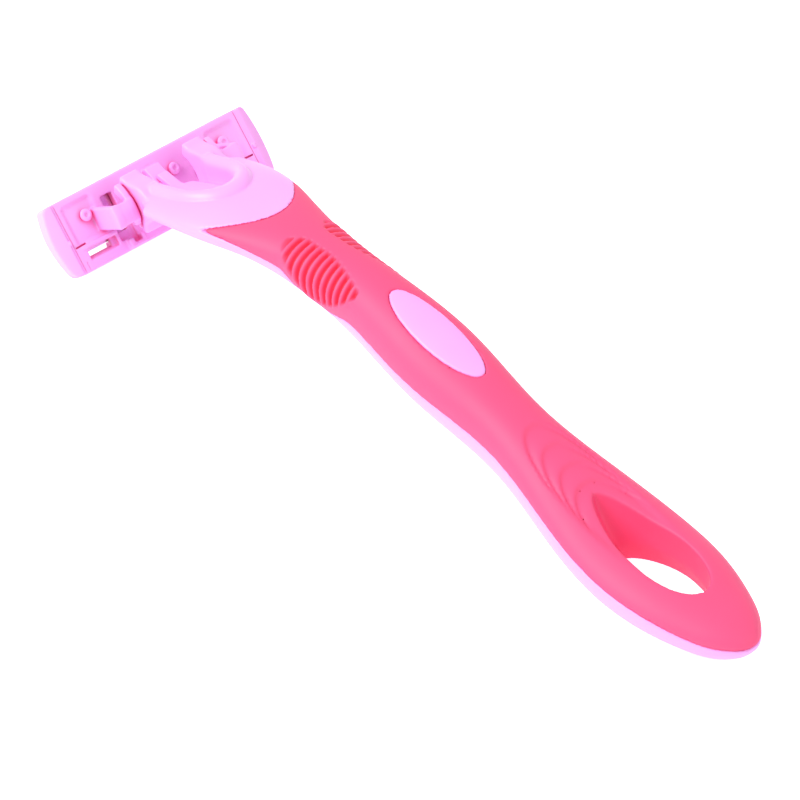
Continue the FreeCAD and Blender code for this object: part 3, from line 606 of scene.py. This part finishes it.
def base_field(x, u, n):
    """The moulded back of the cartridge."""
    side = np.abs(x)
    shape = openings_and_webs(panelled_plate(side, u, n), side, u, n)
    cup = block(side, u, n, (6.5, -6.4, -0.8), (9.7, -4.7, 1.1), 0.35)
    inside = block(side, u, n, (7.3, -5.7, -0.6), (8.8, 0.0, 2.0), 0.3)
    shape = soft_max(soft_min(shape, cup, 0.3), -inside, 0.2)
    shape = soft_min(shape, bracket(side, u, n), 0.25)
    shape = soft_min(shape, cam(x, u, n), 0.25)
    # two fine nicks in the guard side, just inside the seam
    for across in (17.75, 18.3):
        nick = block(side, u, n, (across - 0.08, -6.2, -0.25), (across + 0.08, -4.8, 1.0), 0.03)
        shape = soft_max(shape, -nick, 0.06)
    for across, along in PINS:
        hole = np.maximum(np.hypot(side - across, u - along) - PIN_HOLE_RADIUS, n - 1)
        shape = np.maximum(shape, -hole)
    return shape


def cap_field(x, u, n):
    """The cap over the blades, with the pins that are staked over on the back of the base."""
    side = np.abs(x)
    plate = block(x, u, n, (-INNER_EDGE, 1.0, -4.6), (INNER_EDGE, CAP_EDGE, -3.1), 0.45)
    lip = block(x, u, n, (-INNER_EDGE, 3.8, -4.0), (INNER_EDGE, CAP_EDGE, -1.42), 0.1)
    shape = soft_min(plate, lip, 0.1)
    seat = block(x, u, n, (-18.4, 2.0, -5.0), (18.4, 4.6, -4.0), 0.05)
    shape = np.maximum(shape, -seat)
    for across, along in PINS:
        reach = np.hypot(side - across, u - along)
        pin = soft_max(reach - PIN_RADIUS, np.abs(n + 1.4) - 2.0, 0.1)
        head = soft_max(reach - STAKE_RADIUS, np.abs(n - 0.41) - 0.39, 0.45)
        dimple = np.sqrt((side - across) ** 2 + (u - along) ** 2 + (n - 0.9) ** 2) - 0.42
        head = soft_max(head, -dimple, 0.12)
        shape = np.minimum(shape, np.minimum(pin, head))
    return shape


def end_cap_field(x, u, n):
    """One end of the cartridge: bowed outline that draws in towards the face, and a ridge by the seam."""
    middle = (GUARD_EDGE + CAP_EDGE) / 2
    half = (CAP_EDGE - GUARD_EDGE) / 2
    side = np.abs(x)
    bow = END_REACH - ((u - middle) / half) ** 2 + 0.24 * np.minimum(n, 0)
    plan = soft_max(soft_max(side - bow, GUARD_EDGE - u, 1.3), u - CAP_EDGE, 0.8)
    top = 0.02 + 0.4 * smooth_step(18.95, 19.5, side)
    top = top - 0.85 * np.clip((side - 19.5) / 2.1, 0, 2) ** 1.4
    back = (n - top) * 0.85
    slope = math.atan2(1.4, 7.5)
    front = -(n + 3.2) * math.cos(slope) - (u - GUARD_EDGE) * math.sin(slope)
    front = np.maximum(front, -4.6 - n)
    shape = soft_max(soft_max(plan, back, 0.35), front, 0.5)
    stub = block(side, u, n, (18.95, -1.35, -0.3), (19.5, -0.55, 0.6), 0.25)
    shape = soft_min(shape, stub, 0.15)
    return soft_max(shape, SEAM_X + SEAM_HALF_GAP - side, 0.1)


def build_cartridge(plastic):
    """The moulded pieces of the cartridge. Blades, spacers and strips stay as they are in the CAD."""

    def add(name, field, axes, node):
        make_piece(name, field, axes, "cartridge", plastic, [node], cartridge_to_razor)

    across = even_axis(-19.0, 19.0, 0.2)
    low, high = GUARD_EDGE - 0.3, CAP_EDGE + 0.3
    axes = [across, even_axis(low, high, 0.15), even_axis(-3.0, 7.0, 0.15)]
    add("cartridge_back", base_field, axes, "cartridge_base")
    axes = [across, even_axis(0.5, high, 0.15), even_axis(-4.9, 1.2, 0.12)]
    add("cap_and_stakes", cap_field, axes, "blade_cap")
    for node, first, last in (("left_end_cap", -22.0, -18.4), ("right_end_cap", 18.4, 22.0)):
        axes = [even_axis(first, last, 0.12), even_axis(low, high, 0.12), even_axis(-4.9, 1.0, 0.12)]
        add(node + "_shell", end_cap_field, axes, node)


# ---------------------------------------------------------------- materials

# Places of the colour sockets on a mix node.
MIX_FIRST, MIX_SECOND, MIX_RESULT = 6, 7, 2
MOTTLE_SCALE = 120
GLOSS_SPREAD = 0.06
GRAIN_HEIGHT = 0.00005


def make_material(name, colour, rough, grain, bump, mottle=0.04, metallic=0.0):
    """A moulded or metal surface: faint mottling of colour, uneven gloss and a fine grain."""
    material = bpy.data.materials.new(name)
    material.use_nodes = True
    nodes = material.node_tree.nodes
    links = material.node_tree.links
    shader = nodes["Principled BSDF"]
    shader.inputs["Metallic"].default_value = metallic
    place = nodes.new("ShaderNodeTexCoord")
    cloud = nodes.new("ShaderNodeTexNoise")
    cloud.inputs["Scale"].default_value = MOTTLE_SCALE
    cloud.inputs["Detail"].default_value = 3
    tint = nodes.new("ShaderNodeMix")
    tint.data_type = "RGBA"
    tint.inputs[MIX_FIRST].default_value = [value * (1 - mottle) for value in colour] + [1]
    tint.inputs[MIX_SECOND].default_value = [min(1, value * (1 + mottle)) for value in colour] + [1]
    gloss = nodes.new("ShaderNodeMapRange")
    gloss.inputs["To Min"].default_value = rough - GLOSS_SPREAD
    gloss.inputs["To Max"].default_value = rough + GLOSS_SPREAD
    fine = nodes.new("ShaderNodeTexNoise")
    fine.inputs["Scale"].default_value = grain
    fine.inputs["Detail"].default_value = 2
    rise = nodes.new("ShaderNodeBump")
    rise.inputs["Strength"].default_value = bump
    rise.inputs["Distance"].default_value = GRAIN_HEIGHT
    for noise in (cloud, fine):
        links.new(place.outputs["Object"], noise.inputs["Vector"])
    links.new(cloud.outputs["Fac"], tint.inputs["Factor"])
    links.new(tint.outputs[MIX_RESULT], shader.inputs["Base Color"])
    links.new(cloud.outputs["Fac"], gloss.inputs["Value"])
    links.new(gloss.outputs["Result"], shader.inputs["Roughness"])
    links.new(fine.outputs["Fac"], rise.inputs["Height"])
    links.new(rise.outputs["Normal"], shader.inputs["Normal"])
    return material


def mix_painted_shade(material, colour, share):
    """Mixes a painted shade colour into a material's own, by a share from another node."""
    nodes = material.node_tree.nodes
    links = material.node_tree.links
    base = nodes["Principled BSDF"].inputs["Base Color"]
    before = base.links[0].from_socket
    painted_shade_mix = nodes.new("ShaderNodeMix")
    painted_shade_mix.data_type = "RGBA"
    painted_shade_mix.inputs[MIX_SECOND].default_value = [*colour, 1]
    links.new(share, painted_shade_mix.inputs["Factor"])
    links.new(before, painted_shade_mix.inputs[MIX_FIRST])
    links.new(painted_shade_mix.outputs[MIX_RESULT], base)


def from_attribute(material, name):
    """A share that is kept on the mesh."""
    share = material.node_tree.nodes.new("ShaderNodeAttribute")
    share.attribute_name = name
    return share.outputs["Fac"]


def painted_shade_from_ao(material, reach):
    """A share that grows where surfaces within reach close in, for painted shade in the recesses."""
    nodes = material.node_tree.nodes
    hidden = nodes.new("ShaderNodeAmbientOcclusion")
    hidden.samples = 8
    hidden.inputs["Distance"].default_value = reach
    share = nodes.new("ShaderNodeMapRange")
    share.inputs["From Min"].default_value = 0.75
    share.inputs["From Max"].default_value = 0.15
    material.node_tree.links.new(hidden.outputs["AO"], share.inputs["Value"])
    return share.outputs["Result"]


# How far the painted shade looks for surfaces that close in.
PAINTED_SHADE_REACH = 0.004

pale_pink = make_material("pale_pink_plastic", (0.97, 0.42, 0.93), 0.35, 4000, 0.15)
# Painted shade: a deeper pink mixed into the pale plastic where surfaces close in.
mix_painted_shade(pale_pink, (0.97, 0.10, 0.40), painted_shade_from_ao(pale_pink, PAINTED_SHADE_REACH))
coral = make_material("coral_soft_grip", (0.97, 0.085, 0.235), 0.55, 6000, 0.4)
# Painted shade: a deep red mixed into the coral in the grooves, where little light reaches.
mix_painted_shade(coral, (0.95, 0.02, 0.06), from_attribute(coral, GROOVE_SHADE_ATTRIBUTE))
cartridge_pink = make_material("cartridge_plastic", (0.96, 0.41, 0.90), 0.35, 4000, 0.15)
# Painted shade: a deeper pink mixed into the cartridge plastic where surfaces close in.
mix_painted_shade(cartridge_pink, (0.96, 0.08, 0.33), painted_shade_from_ao(cartridge_pink, PAINTED_SHADE_REACH))
steel = make_material("blade_steel", (0.72, 0.72, 0.74), 0.22, 3000, 0.1, metallic=1.0)
spacer_metal = make_material("spacer_metal", (0.6, 0.6, 0.62), 0.4, 3000, 0.1, metallic=1.0)
lubricant = make_material("lubricant", (0.85, 0.9, 0.85), 0.3, 2500, 0.3)
rubber = make_material("guard_rubber", (0.9, 0.3, 0.6), 0.6, 5000, 0.4)

build_handle(pale_pink, coral)
build_tongue(pale_pink)
build_cartridge(cartridge_pink)

CAD_FINISHES = {
    "seat_blade": steel,
    "middle_blade": steel,
    "cap_blade": steel,
    "lower_spacer": spacer_metal,
    "upper_spacer": spacer_metal,
    "lubricating_strip": lubricant,
    "guard_strip": rubber,
}
for node, finish in CAD_FINISHES.items():
    cad = frame["nodes"][node].data
    cad.materials.clear()
    cad.materials.append(finish)


# ---------------------------------------------------------------- stage, light and camera

FLOOR_HALF, FLOOR_HEIGHT = 3.0, -0.0008
CAMERA_PLACE = (-0.48935, -0.5380, 0.63816)
CAMERA_HEADING, CAMERA_TILT, CAMERA_ROLL = -41.89, 49.0, 0.87
FOCAL_LENGTH, SENSOR_WIDTH = 280.2, 36
AIM = (0, 0, 0.01)


def build_floor():
    """A plain white floor just below the razor."""
    signs = ((-1, -1), (1, -1), (1, 1), (-1, 1))
    corners = [(x * FLOOR_HALF, y * FLOOR_HALF, FLOOR_HEIGHT) for x, y in signs]
    mesh = bpy.data.meshes.new("floor")
    mesh.from_pydata(corners, [], [(0, 1, 2, 3)])
    floor = bpy.data.objects.new("floor", mesh)
    bpy.context.scene.collection.objects.link(floor)
    material = bpy.data.materials.new("floor_white")
    material.use_nodes = True
    shader = material.node_tree.nodes["Principled BSDF"]
    shader.inputs["Base Color"].default_value = (0.95, 0.95, 0.95, 1)
    shader.inputs["Roughness"].default_value = 0.9
    shader.inputs["Emission Color"].default_value = (1, 1, 1, 1)
    # The floor looks white to the camera, but lights the underside only a little.
    nodes = material.node_tree.nodes
    ray = nodes.new("ShaderNodeLightPath")
    glow = nodes.new("ShaderNodeMapRange")
    glow.inputs["To Min"].default_value = 0.3
    glow.inputs["To Max"].default_value = 0.8
    material.node_tree.links.new(ray.outputs["Is Camera Ray"], glow.inputs["Value"])
    material.node_tree.links.new(glow.outputs["Result"], shader.inputs["Emission Strength"])
    mesh.materials.append(material)


def add_light(name, place, width, power):
    """A soft round light that faces the razor."""
    data = bpy.data.lights.new(name, "AREA")
    data.shape = "DISK"
    data.size = width
    data.energy = power
    light = bpy.data.objects.new(name, data)
    light.location = place
    light.rotation_mode = "QUATERNION"
    light.rotation_quaternion = (Vector(AIM) - Vector(place)).to_track_quat("-Z", "Y")
    bpy.context.scene.collection.objects.link(light)


def build_camera():
    data = bpy.data.cameras.new("camera")
    data.sensor_width = SENSOR_WIDTH
    data.lens = FOCAL_LENGTH
    data.clip_start, data.clip_end = 0.05, 20
    camera = bpy.data.objects.new("camera", data)
    heading = Matrix.Rotation(math.radians(CAMERA_HEADING), 4, "Z")
    tilt = Matrix.Rotation(math.radians(CAMERA_TILT), 4, "X")
    roll = Matrix.Rotation(math.radians(CAMERA_ROLL), 4, "Z")
    camera.matrix_world = Matrix.Translation(CAMERA_PLACE) @ (heading @ tilt) @ roll
    bpy.context.scene.collection.objects.link(camera)
    bpy.context.scene.camera = camera


def build_world():
    """Even pale light from all round, and colours shown as they are."""
    world = bpy.data.worlds.new("studio")
    world.use_nodes = True
    background = world.node_tree.nodes["Background"]
    background.inputs["Color"].default_value = (1, 1, 1, 1)
    background.inputs["Strength"].default_value = 0.7
    bpy.context.scene.world = world
    bpy.context.scene.view_settings.view_transform = "Standard"


build_floor()
add_light("key", (-0.5, 0.3, 0.6), width=0.5, power=5)
add_light("fill", (0.3, -0.6, 0.5), width=0.6, power=1)
build_camera()
build_world()
